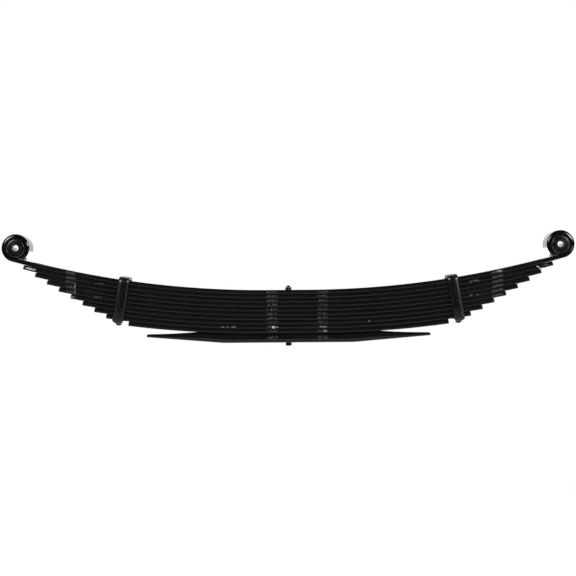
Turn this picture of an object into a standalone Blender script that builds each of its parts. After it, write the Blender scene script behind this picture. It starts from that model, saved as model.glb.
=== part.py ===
"""Semi-elliptic multi-leaf truck spring with two rolled eyes.

Ten graduated leaves and a tapered overload leaf are stacked on a centre bolt. Two bent strap clips,
riveted to the last leaf but one, keep the stack in line, and a rubber bushing fills each eye.
The frame: +X along the spring, +Z up, origin on the bolt axis in the plane of the axle seat.
"""

import math

import bmesh
import bpy
from mathutils import Matrix, Vector

# Spring as a whole
EYE_SPACING = 1.422
LEAF_WIDTH = 0.0762
LEAF_COUNT = 10
LEAF_GAP = 0.0003
FIT_GAP = 0.0003

# Spring bar: flat top and bottom, round edges
LEAF_THICKNESS = 0.0110
EDGE_RADIUS = 0.0075

# Camber: a flat seat under the axle clamp, then one arc to the leaf's end
SEAT_HALF = 0.052
SEAT_STEP = 0.0030
ARC_RADIUS = 2.5105

# Leaf lengths, measured along the spring
SECOND_LEAF_SETBACK = 0.0205
LEAF_STEP = 0.0307
LAST_LEAF_STEP = 0.0580

# Rolled eyes of the main leaf, each with its tip ground to a scarf that lies along the leaf. The rolling
# squares up the edges on the inside of the bend within the first part of the turn
EYE_BORE = 0.0508
EYE_TIP_GAP = 0.0008
EYE_TIP_THICKNESS = 0.0025
EYE_SQUARE_TURN = math.radians(40)

# Overload leaf: it hugs the leaf above, then both faces taper towards the tips
OVERLOAD_THICKNESS = 0.0240
OVERLOAD_REACH = 0.370
OVERLOAD_TIP = 0.0066
OVERLOAD_HUG = 0.230
OVERLOAD_TIP_DROP = 0.0015
OVERLOAD_FLAT_HALF = 0.170
OVERLOAD_EDGE_RADIUS = 0.0135

# Eye bushings: steel outer sleeve, rubber, steel inner sleeve
OUTER_SLEEVE_WALL = 0.0024
OUTER_SLEEVE_INSET = 0.0006
RUBBER_INSET = 0.0022
RUBBER_BULGE = 0.0018
INNER_SLEEVE_OUTER = 0.0300
INNER_SLEEVE_BORE = 0.0165
INNER_SLEEVE_PROUD = 0.0020
SLEEVE_CHAMFER = 0.0010

# Centre bolt and nut
BOLT_DIAMETER = 0.0100
BOLT_HEAD_DIAMETER = 0.0158
BOLT_HEAD_HEIGHT = 0.0091
BOLT_HEAD_ROUND = 0.0026
BOLT_STICK_OUT = 0.0038
BOLT_POINT = 0.0018
NUT_FLATS = 0.0160
NUT_HEIGHT = 0.0080
NUT_CHAMFER = 0.0020

# Rebound clips: a strap under the last leaf but one, bent up both sides and over the top. The strap is flat
# inside. Its outer face is flat in the middle and falls away in an arc to each edge. The legs lean a little
# towards the bolt.
CLIP_SETBACK = 0.0310
CLIP_WIDTH = 0.0280
CLIP_THICKNESS = 0.0083
CLIP_FLAT_HALF = 0.0055
CLIP_FALL_START = math.radians(8)
CLIP_FALL_END = math.radians(38)
CLIP_SIDE_GAP = 0.0012
CLIP_HEADROOM = 0.0018
CLIP_BASE_BEND = 0.0040
CLIP_TOP_BEND = 0.0080
CLIP_LIP_GAP = 0.0200
CLIP_LEAN = math.radians(1.4)

# Clip rivets: button head below, countersunk end in the leaf
RIVET_DIAMETER = 0.0080
RIVET_HEAD_DIAMETER = 0.0178
RIVET_HEAD_HEIGHT = 0.0063
RIVET_SINK_DIAMETER = 0.0125
RIVET_SINK_DEPTH = 0.0035

# Motion: each half bends as a link about a point a quarter of the way out from the seat
FLEX_PIVOT_SHARE = 0.25

# Facets
ARC_STEPS = 13
EYE_STEPS = 26
SCARF_STEPS = 3
EDGE_STEPS = 4
STRAP_STEPS = 2
BEND_STEPS = 5
TURN_STEPS = 28

# Sizes that follow from the ones above
PITCH = LEAF_THICKNESS + LEAF_GAP
CLIP_LEAF = LEAF_COUNT - 1
EYE_LINE_RADIUS = EYE_BORE / 2 + LEAF_THICKNESS / 2
EYE_OUTER_RADIUS = EYE_BORE / 2 + LEAF_THICKNESS
BOLT_HOLE = BOLT_DIAMETER + 2 * FIT_GAP
SEAT_BREAK = max(NUT_FLATS, BOLT_HEAD_DIAMETER)
PACK_TOP = OVERLOAD_THICKNESS + LEAF_COUNT * PITCH
MAIN_HEIGHT = PACK_TOP - LEAF_THICKNESS / 2
MAIN_END_ANGLE = math.asin((EYE_SPACING / 2 - SEAT_HALF) / (ARC_RADIUS - EYE_LINE_RADIUS))
EYE_HEIGHT = MAIN_HEIGHT + ARC_RADIUS - (ARC_RADIUS - EYE_LINE_RADIUS) * math.cos(MAIN_END_ANGLE)
SCARF_DEPTH = EYE_BORE / 2 - EYE_TIP_GAP
SCARF_START = math.acos(SCARF_DEPTH / EYE_OUTER_RADIUS)
SCARF_END = math.acos(SCARF_DEPTH / (EYE_BORE / 2 + EYE_TIP_THICKNESS))
FLEX_PIVOT_REACH = SEAT_HALF + FLEX_PIVOT_SHARE * (EYE_SPACING / 2 - SEAT_HALF)

for old_object in list(bpy.data.objects):
    bpy.data.objects.remove(old_object)


def new_collection(name):
    collection = bpy.data.collections.new(name)
    bpy.context.scene.collection.children.link(collection)
    return collection


PARTS = new_collection("leaf_spring")
CUTTERS = new_collection("leaf_spring_cutters")


def finish(name, colour, roughness, metallic):
    material = bpy.data.materials.new(name)
    material.use_nodes = True
    shader = material.node_tree.nodes["Principled BSDF"]
    shader.inputs["Base Color"].default_value = (*colour, 1.0)
    shader.inputs["Roughness"].default_value = roughness
    shader.inputs["Metallic"].default_value = metallic
    return material


def black_paint(name):
    return finish(name + "_gloss_black_paint", (0.010, 0.010, 0.011), 0.30, 0.0)


def sleeve_steel(name):
    return finish(name + "_sleeve_steel", (0.035, 0.035, 0.038), 0.38, 0.9)


def bushing_rubber(name):
    return finish(name + "_black_rubber", (0.012, 0.012, 0.012), 0.75, 0.0)


def add_object(name, data, collection=None):
    piece = bpy.data.objects.new(name, data)
    (collection or PARTS).objects.link(piece)
    return piece


def make_cutter(piece):
    piece.hide_render = True
    piece.display_type = "WIRE"
    return piece


def mesh_from_curve(piece):
    """Turn a curve object into a welded, outward-facing mesh object of the same name and place."""
    name, place = piece.name, piece.matrix_world.copy()
    graph = bpy.context.evaluated_depsgraph_get()
    mesh = bpy.data.meshes.new_from_object(piece.evaluated_get(graph))
    bpy.data.objects.remove(piece)
    body = bmesh.new()
    body.from_mesh(mesh)
    bmesh.ops.remove_doubles(body, verts=body.verts, dist=0.00001)
    bmesh.ops.recalc_face_normals(body, faces=body.faces)
    body.to_mesh(mesh)
    body.free()
    solid = add_object(name, mesh)
    solid.matrix_world = place
    return solid


def shade(piece, angle=0.6):
    piece.data.shade_smooth()
    piece.data.set_sharp_from_angle(angle=angle)


def poly_curve(name, points, cyclic):
    curve = bpy.data.curves.new(name, "CURVE")
    curve.dimensions = "2D"
    curve.fill_mode = "NONE"
    spline = curve.splines.new("POLY")
    spline.points.add(len(points) - 1)
    for point, (across, along) in zip(spline.points, points):
        point.co = (across, along, 0.0, 1.0)
    spline.use_cyclic_u = cyclic
    return curve


def bar_section(name, width, thickness, edge_radius):
    """Section of a round-edge bar: flat faces, each edge a shallow arc of edge_radius."""
    radius = max(edge_radius, thickness / 2)
    half_angle = math.asin(thickness / 2 / radius)
    centre = width / 2 - radius
    points = []
    for side in (1, -1):
        for step in range(EDGE_STEPS + 1):
            angle = half_angle * (1 - 2 * step / EDGE_STEPS)
            points.append((side * radius * math.sin(angle), side * (centre + radius * math.cos(angle))))
    return make_cutter(add_object(name, poly_curve(name, points, True), CUTTERS))


def strap_section(name):
    """Section of the clip's strap, inner face flat, outer face falling away in an arc to each edge."""
    half = CLIP_THICKNESS / 2
    edge = CLIP_WIDTH / 2
    radius = (edge - CLIP_FLAT_HALF) / (math.sin(CLIP_FALL_END) - math.sin(CLIP_FALL_START))
    outer = []
    for step in range(STRAP_STEPS + 1):
        angle = CLIP_FALL_START + (CLIP_FALL_END - CLIP_FALL_START) * step / STRAP_STEPS
        across = CLIP_FLAT_HALF + radius * (math.sin(angle) - math.sin(CLIP_FALL_START))
        outer.append((half - radius * (math.cos(CLIP_FALL_START) - math.cos(angle)), across))
    points = [(depth, -across) for depth, across in reversed(outer)]
    points += [(depth, across) for depth, across in outer]
    points += [(-half, edge), (-half, -edge)]
    return make_cutter(add_object(name, poly_curve(name, points, True), CUTTERS))


def swept_bar(name, path, section):
    """Sweep a bar section along a path drawn in the XZ plane."""
    curve = poly_curve(name, path, False)
    curve.bevel_mode = "OBJECT"
    curve.bevel_object = section
    curve.use_fill_caps = True
    bar = add_object(name, curve)
    bar.rotation_euler = (math.pi / 2, 0, 0)
    bpy.context.view_layer.update()
    bar = mesh_from_curve(bar)
    shade(bar)
    return bar


def turned(name, outline, collection=None):
    """Turn an outline of (radius, height) points about Z. It runs down the outer side, top to bottom."""
    profile = bmesh.new()
    ring = [profile.verts.new((radius, 0, height)) for radius, height in outline]
    for first, second in zip(ring, ring[1:]):
        profile.edges.new((first, second))
    if outline[0][0] > 0:
        profile.edges.new((ring[-1], ring[0]))
    mesh = bpy.data.meshes.new(name)
    profile.to_mesh(mesh)
    profile.free()
    piece = add_object(name, mesh, collection)
    screw = piece.modifiers.new("turn", "SCREW")
    screw.steps = TURN_STEPS
    screw.render_steps = TURN_STEPS
    screw.use_merge_vertices = True
    screw.merge_threshold = 0.00001
    return piece


def arc(centre, radius, start, stop, steps):
    """Points on an arc, from the angle start to the angle stop."""
    angles = [start + (stop - start) * step / steps for step in range(steps + 1)]
    return [(centre[0] + radius * math.cos(a), centre[1] + radius * math.sin(a)) for a in angles]


def cut(piece, cutter):
    boolean = piece.modifiers.new("cut_" + cutter.name, "BOOLEAN")
    boolean.operation = "DIFFERENCE"
    boolean.object = cutter


def bolt_hole_cutter():
    below, above = -BOLT_HEAD_HEIGHT, PACK_TOP + BOLT_HEAD_HEIGHT
    outline = [(0, above), (BOLT_HOLE / 2, above), (BOLT_HOLE / 2, below), (0, below)]
    return make_cutter(turned("bolt_hole", outline, CUTTERS))


def leaf_height(number):
    return MAIN_HEIGHT - (number - 1) * PITCH


def leaf_radius(number):
    return ARC_RADIUS + (number - 1) * PITCH


def leaf_seat(number):
    return SEAT_HALF + (number - 1) * SEAT_STEP


def leaf_reach(number):
    """Half length of a graduated leaf. Each is one step shorter, and the last one a longer step."""
    reach = EYE_SPACING / 2 - SECOND_LEAF_SETBACK - (number - 2) * LEAF_STEP
    return reach - (LAST_LEAF_STEP - LEAF_STEP) * (number == LEAF_COUNT)


def leaf_point(number, angle, offset=0.0):
    """A point of a leaf's arc, offset upwards from its centre line along the normal."""
    radius = leaf_radius(number)
    along = leaf_seat(number) + (radius - offset) * math.sin(angle)
    return along, leaf_height(number) + radius - (radius - offset) * math.cos(angle)


def leaf_angle(number, reach):
    return math.asin((reach - leaf_seat(number)) / leaf_radius(number))


def mirrored(half_path):
    return [(-along, height) for along, height in reversed(half_path)] + half_path


def half_line(number, end_angle):
    seat_points = [(SEAT_BREAK, leaf_height(number))]
    arc_points = [leaf_point(number, end_angle * step / ARC_STEPS) for step in range(ARC_STEPS + 1)]
    return seat_points + arc_points


def eye_line():
    """Centre line of the right eye, from the leaf's end round to the tip."""
    centre = (EYE_SPACING / 2, EYE_HEIGHT)
    start = MAIN_END_ANGLE - math.pi / 2
    scarf = start + 2 * math.pi - SCARF_START
    tip = start + 2 * math.pi - SCARF_END
    ring = arc(centre, EYE_LINE_RADIUS, start, scarf, EYE_STEPS)
    return ring[1:] + arc(centre, EYE_LINE_RADIUS, scarf, tip, SCARF_STEPS)[1:]


def scarf_eye_tips(leaf):
    """Thin each eye's tip, so that it lies along the leaf that it comes round to."""
    bore = EYE_BORE / 2
    foot = Vector((math.sin(MAIN_END_ANGLE), -math.cos(MAIN_END_ANGLE)))
    back = Vector((foot.y, -foot.x))
    for vertex in leaf.data.vertices:
        side = math.copysign(1.0, vertex.co.x)
        spoke = Vector((abs(vertex.co.x) - EYE_SPACING / 2, vertex.co.y - EYE_HEIGHT))
        angle = math.atan2(spoke.dot(back), spoke.dot(foot))
        in_tip = SCARF_END / 2 < angle < SCARF_START
        if in_tip and spoke.length < EYE_OUTER_RADIUS + FIT_GAP:
            share = min(1.0, (SCARF_DEPTH / math.cos(angle) - bore) / LEAF_THICKNESS)
            spoke *= (bore + (spoke.length - bore) * share) / spoke.length
            vertex.co.x = side * (EYE_SPACING / 2 + spoke.x)
            vertex.co.y = EYE_HEIGHT + spoke.y


def square_eye_edges(leaf):
    """Bring the edges on the inside of each eye out to the leaf's full width."""
    foot = Vector((math.sin(MAIN_END_ANGLE), -math.cos(MAIN_END_ANGLE)))
    ahead = Vector((-foot.y, foot.x))
    for vertex in leaf.data.vertices:
        spoke = Vector((abs(vertex.co.x) - EYE_SPACING / 2, vertex.co.y - EYE_HEIGHT))
        turn = math.atan2(spoke.dot(ahead), spoke.dot(foot)) % (2 * math.pi)
        on_eye = turn < 2 * math.pi - SCARF_END / 2
        if on_eye and spoke.length < EYE_LINE_RADIUS:
            share = min(1.0, turn / EYE_SQUARE_TURN)
            edge = math.copysign(LEAF_WIDTH / 2, vertex.co.z)
            vertex.co.z += (edge - vertex.co.z) * share


def build_leaves(section, bolt_hole):
    """The main leaf with its rolled eyes, and the graduated leaves under it."""
    paths = {"main_leaf": half_line(1, MAIN_END_ANGLE) + eye_line()}
    for number in range(2, LEAF_COUNT + 1):
        paths[f"leaf_{number}"] = half_line(number, leaf_angle(number, leaf_reach(number)))
    leaves = {}
    for name, half_path in paths.items():
        leaf = swept_bar(name, mirrored(half_path), section)
        leaf.data.materials.append(black_paint(name))
        cut(leaf, bolt_hole)
        leaves[name] = leaf
    square_eye_edges(leaves["main_leaf"])
    scarf_eye_tips(leaves["main_leaf"])
    return leaves


def overload_faces(along):
    """Heights of the overload leaf's underside and top at a distance along the spring."""
    number = LEAF_COUNT + 1
    radius = leaf_radius(number) - LEAF_THICKNESS / 2
    bend = max(0.0, min(along, OVERLOAD_HUG) - leaf_seat(number))
    top = OVERLOAD_THICKNESS + radius - math.sqrt(radius**2 - bend**2)
    tip_top = OVERLOAD_THICKNESS - OVERLOAD_TIP_DROP
    remaining = min(1.0, (OVERLOAD_REACH - along) / (OVERLOAD_REACH - OVERLOAD_HUG))
    if along > OVERLOAD_HUG:
        top = tip_top + (top - tip_top) * remaining**2
    taper = (along - OVERLOAD_FLAT_HALF) / (OVERLOAD_REACH - OVERLOAD_FLAT_HALF)
    underside = max(0.0, taper) * (tip_top - OVERLOAD_TIP)
    return underside, top


def build_overload(bolt_hole):
    """A straight thick bar whose faces are then drawn to the overload leaf's taper."""
    seat = leaf_seat(LEAF_COUNT + 1)
    stations = {SEAT_BREAK, OVERLOAD_FLAT_HALF}
    for step in range(BEND_STEPS + 1):
        stations.add(seat + (OVERLOAD_HUG - seat) * step / BEND_STEPS)
        stations.add(OVERLOAD_HUG + (OVERLOAD_REACH - OVERLOAD_HUG) * step / BEND_STEPS)
    section = bar_section("overload_section", LEAF_WIDTH, OVERLOAD_THICKNESS, OVERLOAD_EDGE_RADIUS)
    leaf = swept_bar("overload_leaf", mirrored([(along, 0.0) for along in sorted(stations)]), section)
    for vertex in leaf.data.vertices:
        underside, top = overload_faces(abs(vertex.co.x))
        vertex.co.y = underside + (top - underside) * (vertex.co.y / OVERLOAD_THICKNESS + 0.5)
    leaf.data.materials.append(black_paint(leaf.name))
    cut(leaf, bolt_hole)
    return leaf


def build_centre_bolt():
    """Cheese-head bolt, pushed up through the stack from below."""
    head, shank = BOLT_HEAD_DIAMETER / 2, BOLT_DIAMETER / 2
    top = PACK_TOP + FIT_GAP + NUT_HEIGHT + BOLT_STICK_OUT
    seat, bottom = -FIT_GAP, -FIT_GAP - BOLT_HEAD_HEIGHT
    point = [(0, top), (shank - BOLT_POINT, top), (shank, top - BOLT_POINT)]
    round_centre = (head - BOLT_HEAD_ROUND, bottom + BOLT_HEAD_ROUND)
    rounding = arc(round_centre, BOLT_HEAD_ROUND, 0, -math.pi / 2, BEND_STEPS)
    bolt = turned("centre_bolt", point + [(shank, seat), (head, seat)] + rounding + [(0, bottom)])
    bolt.data.materials.append(black_paint(bolt.name))
    return bolt


def build_centre_nut():
    """Hexagon nut with chamfered corners, one corner towards the front."""
    corner_radius = NUT_FLATS / 2 / math.cos(math.pi / 6)
    body = bmesh.new()
    bmesh.ops.create_cone(
        body, cap_ends=True, segments=6, radius1=corner_radius, radius2=corner_radius, depth=NUT_HEIGHT
    )
    mesh = bpy.data.meshes.new("centre_nut")
    body.to_mesh(mesh)
    body.free()
    nut = add_object("centre_nut", mesh)
    nut.location = (0, 0, PACK_TOP + FIT_GAP + NUT_HEIGHT / 2)
    crown = [
        (0, NUT_HEIGHT / 2),
        (corner_radius - 2 * NUT_CHAMFER, NUT_HEIGHT / 2),
        (corner_radius, NUT_HEIGHT / 2 - NUT_CHAMFER),
        (corner_radius, -NUT_HEIGHT),
        (0, -NUT_HEIGHT),
    ]
    crown_limit = make_cutter(turned("nut_crown", crown, CUTTERS))
    crown_limit.location = nut.location
    keep = nut.modifiers.new("crown", "BOOLEAN")
    keep.operation = "INTERSECT"
    keep.object = crown_limit
    hole = [(0, NUT_HEIGHT), (BOLT_HOLE / 2, NUT_HEIGHT), (BOLT_HOLE / 2, -NUT_HEIGHT), (0, -NUT_HEIGHT)]
    nut_hole = make_cutter(turned("nut_hole", hole, CUTTERS))
    nut_hole.location = nut.location
    cut(nut, nut_hole)
    nut.data.materials.append(black_paint(nut.name))
    return nut


def clip_frame(side):
    """Place of a clip: on the underside of its leaf, square to the leaf."""
    angle = leaf_angle(CLIP_LEAF, leaf_reach(CLIP_LEAF) - CLIP_SETBACK)
    along, height = leaf_point(CLIP_LEAF, angle, -LEAF_THICKNESS / 2)
    return Matrix.Translation((side * along, 0, height)) @ Matrix.Rotation(-side * angle, 4, "Y"), angle


def main_top_over_clip(angle):
    """Greatest height of the main leaf's top above the clip leaf's underside, over the clip's width."""
    base = Vector(leaf_point(CLIP_LEAF, angle, -LEAF_THICKNESS / 2))
    normal = Vector((-math.sin(angle), math.cos(angle)))
    outward = Vector((normal.y, -normal.x))
    heights = []
    for step in range(-BEND_STEPS, BEND_STEPS + 1):
        guess = base + outward * CLIP_WIDTH / 2 * step / BEND_STEPS + normal * CLIP_LEAF * PITCH
        top = Vector(leaf_point(1, leaf_angle(1, guess.x), LEAF_THICKNESS / 2))
        heights.append((top - base).dot(normal))
    return max(heights)


def clip_path(inner_height):
    """Centre line of a clip's strap, across the spring: base, two legs, two ends bent over the top."""
    half = CLIP_THICKNESS / 2
    leg = LEAF_WIDTH / 2 + CLIP_SIDE_GAP + half
    base = -FIT_GAP - half
    top = inner_height + half
    low = CLIP_BASE_BEND + half
    high = CLIP_TOP_BEND + half
    right = arc((leg - low, base + low), low, -math.pi / 2, 0, BEND_STEPS)
    right += arc((leg - high, top - high), high, 0, math.pi / 2, BEND_STEPS)
    right.append((CLIP_LIP_GAP / 2, top))
    hole_edge = (RIVET_HEAD_DIAMETER / 2, base)
    return mirrored([hole_edge] + right)


def build_clip(name, side, rivet_hole):
    place, angle = clip_frame(side)
    section = strap_section(name + "_section")
    clip = swept_bar(name, clip_path(main_top_over_clip(angle) + CLIP_HEADROOM), section)
    for vertex in clip.data.vertices:
        vertex.co.z -= side * math.tan(CLIP_LEAN) * vertex.co.y
    turn_across = Matrix.Rotation(math.pi / 2, 4, "Z")
    clip.matrix_world = place @ turn_across @ clip.matrix_world
    clip.data.materials.append(black_paint(name))
    cut(clip, rivet_hole)
    return clip


def rivet_outline(grow):
    """Side of a rivet from its countersunk end down to its button head, each face moved out by grow."""
    shank = RIVET_DIAMETER / 2 + grow
    sink = RIVET_SINK_DIAMETER / 2 + grow
    end = LEAF_THICKNESS - FIT_GAP + grow
    sink_bottom = LEAF_THICKNESS - FIT_GAP - RIVET_SINK_DEPTH - grow
    seat = -2 * FIT_GAP - CLIP_THICKNESS
    return [(0, end), (sink, end), (shank, sink_bottom), (shank, seat)]


def build_rivet(name, side):
    """Hot-driven rivet through the clip's base and the clip leaf."""
    seat = rivet_outline(0.0)[-1][1]
    head = RIVET_HEAD_DIAMETER / 2
    dome = [(head, seat)]
    for step in range(1, BEND_STEPS + 1):
        angle = math.pi / 2 * step / BEND_STEPS
        dome.append((head * math.cos(angle), seat - RIVET_HEAD_HEIGHT * math.sin(angle)))
    dome[-1] = (0, seat - RIVET_HEAD_HEIGHT)
    rivet = turned(name, rivet_outline(0.0) + dome)
    rivet.matrix_world = clip_frame(side)[0]
    rivet.data.materials.append(black_paint(name))
    return rivet


def rivet_hole_cutter(name, side):
    outline = rivet_outline(FIT_GAP)
    wall, end = outline[1], outline[-1]
    beyond = end[1] - RIVET_HEAD_HEIGHT
    above = wall[1] + RIVET_SINK_DEPTH
    bore = [(0, above), (wall[0], above)] + outline[1:-1] + [(end[0], beyond), (0, beyond)]
    cutter = make_cutter(turned(name, bore, CUTTERS))
    cutter.matrix_world = clip_frame(side)[0]
    return cutter


def ring_outline(outer, inner, length, chamfer=0.0):
    """Closed section of a sleeve, from the top of its outer side round to the top of its bore."""
    half = length / 2
    return [
        (outer - chamfer, half),
        (outer, half - chamfer),
        (outer, -half + chamfer),
        (outer - chamfer, -half),
        (inner + chamfer, -half),
        (inner, -half + chamfer),
        (inner, half - chamfer),
        (inner + chamfer, half),
    ]


def rubber_outline(outer, inner, length):
    """Section of the rubber, with both ends bulging between the sleeves."""
    half, middle = length / 2, (outer + inner) / 2
    quarter = (outer - inner) / 4
    bulge = half + RUBBER_BULGE
    return [
        (outer, half),
        (outer, -half),
        (middle + quarter, -bulge),
        (middle - quarter, -bulge),
        (inner, -half),
        (inner, half),
        (middle - quarter, bulge),
        (middle + quarter, bulge),
    ]


def build_bushing(side_name, side):
    """Bushing in one eye, hung from the axis that the half spring bends about."""
    pivot = bpy.data.objects.new(side_name + "_flex_axis", None)
    PARTS.objects.link(pivot)
    pivot.location = (side * FLEX_PIVOT_REACH, 0, MAIN_HEIGHT)
    outer = EYE_BORE / 2 - FIT_GAP
    rubber_outer = outer - OUTER_SLEEVE_WALL - FIT_GAP
    inner = INNER_SLEEVE_OUTER / 2
    outer_length = LEAF_WIDTH - 2 * OUTER_SLEEVE_INSET
    rubber_length = LEAF_WIDTH - 2 * RUBBER_INSET
    inner_length = LEAF_WIDTH + 2 * INNER_SLEEVE_PROUD
    sections = {
        "outer_sleeve": ring_outline(outer, outer - OUTER_SLEEVE_WALL, outer_length),
        "rubber": rubber_outline(rubber_outer, inner + FIT_GAP, rubber_length),
        "inner_sleeve": ring_outline(inner, INNER_SLEEVE_BORE / 2, inner_length, SLEEVE_CHAMFER),
    }
    for kind, section in sections.items():
        name = f"{side_name}_bushing_{kind}"
        unique = [point for index, point in enumerate(section) if point != section[index - 1]]
        piece = turned(name, unique)
        piece.parent = pivot
        piece.location = Vector((side * EYE_SPACING / 2, 0, EYE_HEIGHT)) - pivot.location
        piece.rotation_euler = (math.pi / 2, 0, 0)
        piece.data.materials.append(bushing_rubber(name) if kind == "rubber" else sleeve_steel(name))


spring_bar = bar_section("spring_bar_section", LEAF_WIDTH, LEAF_THICKNESS, EDGE_RADIUS)
through_hole = bolt_hole_cutter()
spring_leaves = build_leaves(spring_bar, through_hole)
build_overload(through_hole)
build_centre_bolt()
build_centre_nut()
for end_name, end_side in (("left", -1), ("right", 1)):
    clip_hole = rivet_hole_cutter(end_name + "_rivet_hole", end_side)
    cut(spring_leaves[f"leaf_{CLIP_LEAF}"], clip_hole)
    build_clip(end_name + "_clip", end_side, clip_hole)
    build_rivet(end_name + "_clip_rivet", end_side)
    build_bushing(end_name, end_side)
bpy.context.view_layer.update()
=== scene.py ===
import math

import bmesh
import bpy
from mathutils import Matrix, Vector


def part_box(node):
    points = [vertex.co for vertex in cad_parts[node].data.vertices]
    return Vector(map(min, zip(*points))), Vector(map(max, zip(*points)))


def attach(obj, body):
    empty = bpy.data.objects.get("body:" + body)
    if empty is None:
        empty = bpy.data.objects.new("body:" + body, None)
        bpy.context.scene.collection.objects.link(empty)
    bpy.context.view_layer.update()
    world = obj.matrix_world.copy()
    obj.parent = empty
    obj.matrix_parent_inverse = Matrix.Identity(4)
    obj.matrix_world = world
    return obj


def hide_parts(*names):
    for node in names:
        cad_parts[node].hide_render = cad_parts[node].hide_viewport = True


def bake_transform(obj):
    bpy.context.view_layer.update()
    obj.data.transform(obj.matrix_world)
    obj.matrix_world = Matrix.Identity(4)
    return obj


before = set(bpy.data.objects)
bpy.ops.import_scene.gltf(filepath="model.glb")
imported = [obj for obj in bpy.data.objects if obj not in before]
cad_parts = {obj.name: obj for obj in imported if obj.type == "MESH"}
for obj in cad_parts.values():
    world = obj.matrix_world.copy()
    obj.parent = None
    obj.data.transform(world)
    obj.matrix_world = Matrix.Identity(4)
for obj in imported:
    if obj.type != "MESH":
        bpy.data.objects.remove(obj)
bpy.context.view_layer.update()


# Main leaf
# The top leaf of the spring, of hot-rolled round-edge spring bar. Its ends are rolled up into eyes
# that hold the bushings. The stack was sprayed gloss black when it was complete.

# The leaf is flat over the axle seat and an arc beyond it. Each leaf below starts its arc a step later.
ARC_RADIUS = 2.5105
SEAT_HALF = 0.052
SEAT_STEP = 0.003
EDGE_RADIUS = 0.0075
EYE_TIP_GAP = 0.0008
EYE_TIP_THICKNESS = 0.0025
EYE_SQUARE_TURN = math.radians(40)
EYE_FLAT = 0.0027
EYE_EDGE_RADIUS = 0.011
EDGE_STEPS = 10
ARC_STEPS = 48
EYE_STEPS = 64
SCARF_STEPS = 6
LEAF_CONTACT_GAP = 0.00002

leaf_low, leaf_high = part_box("leaf_2")
leaf_width = leaf_high.y - leaf_low.y
leaf_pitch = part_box("leaf_9")[0].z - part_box("leaf_10")[0].z
leaf_thickness = leaf_pitch - LEAF_CONTACT_GAP
sleeve_low, sleeve_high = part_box("right_bushing_outer_sleeve")
eye_centre = (sleeve_low + sleeve_high) / 2
eye_outer_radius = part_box("main_leaf")[1].x - eye_centre.x
eye_line_radius = eye_outer_radius - leaf_thickness / 2
eye_bore_radius = eye_outer_radius - leaf_thickness


def linear(hex_colour):
    """An sRGB hex colour as the linear colour that a shader takes."""
    shares = [int(hex_colour[place:place + 2], 16) / 255 for place in (1, 3, 5)]
    return [s / 12.92 if s <= 0.04045 else ((s + 0.055) / 1.055) ** 2.4 for s in shares] + [1.0]


def plug(tree, node, sockets):
    """Give each named input of a node its value, or the link that feeds it."""
    for name, value in sockets.items():
        if isinstance(value, bpy.types.NodeSocket):
            tree.links.new(value, node.inputs[name])
        else:
            node.inputs[name].default_value = value


def add_node(tree, kind, sockets, **settings):
    """One shader node with its settings, its inputs plugged."""
    made = tree.nodes.new("ShaderNode" + kind)
    for name, value in settings.items():
        setattr(made, name, value)
    plug(tree, made, sockets)
    return made


def new_material(name):
    """An empty material with its Principled shader."""
    material = bpy.data.materials.new(name)
    material.use_nodes = True
    return material, material.node_tree, material.node_tree.nodes["Principled BSDF"]


# Spring enamel: gloss black alkyd sprayed thickly over mill scale. It has a soft orange peel, long rolling
# marks that show through, and pale grey rubs low on the edges, where a strap or a neighbour has worn them.
# On the eyes it has run together into a deeper gloss, on the flat faces it lies dry, and road dust warms it
# a little towards the ends. START and FULL say where a pattern sets in and where it is complete.
ENAMEL_BLACK = "#050506"
ROLL_MARK_BLACK = "#111113"
ROAD_DUST = "#0f0c07"
RUBBED_GREY = "#565451"
# The orange peel is drawn about twice as coarse as it is, because it would be too fine to show.
PEEL_SIZE = 0.0045
PEEL_HEIGHT = 0.0006
PEEL_STRENGTH = 0.08
ROLL_MARK_SIZE = (0.120, 0.020, 0.0016)
ROLL_MARK_RELIEF = 0.5
ROLL_TINT_START, ROLL_TINT_FULL = 0.35, 0.75
DUST_PATCH_SIZE = 0.060
DUST_START, DUST_FULL, DUST_MOST = 0.30, 0.60, 0.8
# How far the gloss goes: roughness of the smoother and duller patches, and what each place adds to it.
PATCH_START, PATCH_FULL = 0.3, 0.7
SMOOTH_PATCH, DULL_PATCH = 0.13, 0.24
EYE_GLOSS, DUST_DULLING, FLAT_DRYNESS, BARE_AND_GLINT_DULLING = -0.08, 0.06, 0.42, 0.35
EYE_GLOSS_REACH = 1.5
CLEAR_COAT = 0.25
# How high a place lies on the bar's edge, from -1 at the lower face to 1 at the upper, is kept in the mesh.
EDGE_HEIGHT = "edge_height"
FLAT_START, FLAT_FULL = 0.985, 0.999
RUB_TOP, RUB_FULL = 0.87, 0.30
PROUD_DEPTH = 0.0016
SCUFF_SIZE = (0.0240, 0.0300, 0.0030)
SCUFF_SHIFT = (3.1, 0.7, 5.3)
SCUFF_START, SCUFF_FULL, SCUFF_MOST = 0.62, 0.80, 0.45
RUB_SIZE = (0.0060, 0.0200, 0.0034)
BAND_RUB_START, BAND_RUB_FULL = 0.47, 0.62
BAND_CORE = 0.7
# Rub bands: place along the spring, half width, and how evenly the enamel is rubbed through.
STRAP_BANDS = (
    (-0.567, 0.014, 0.30),
    (-0.0425, 0.016, 0.05),
    (0.0895, 0.015, 0.05),
    (0.5455, 0.0165, 0.34),
)
FRONT_EDGE = -leaf_width / 2
MARK_DEPTH = 0.012
MARK_RAGGEDNESS = 1.6
MARK_RIM, MARK_CORE = 1.62, 1.46
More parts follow.
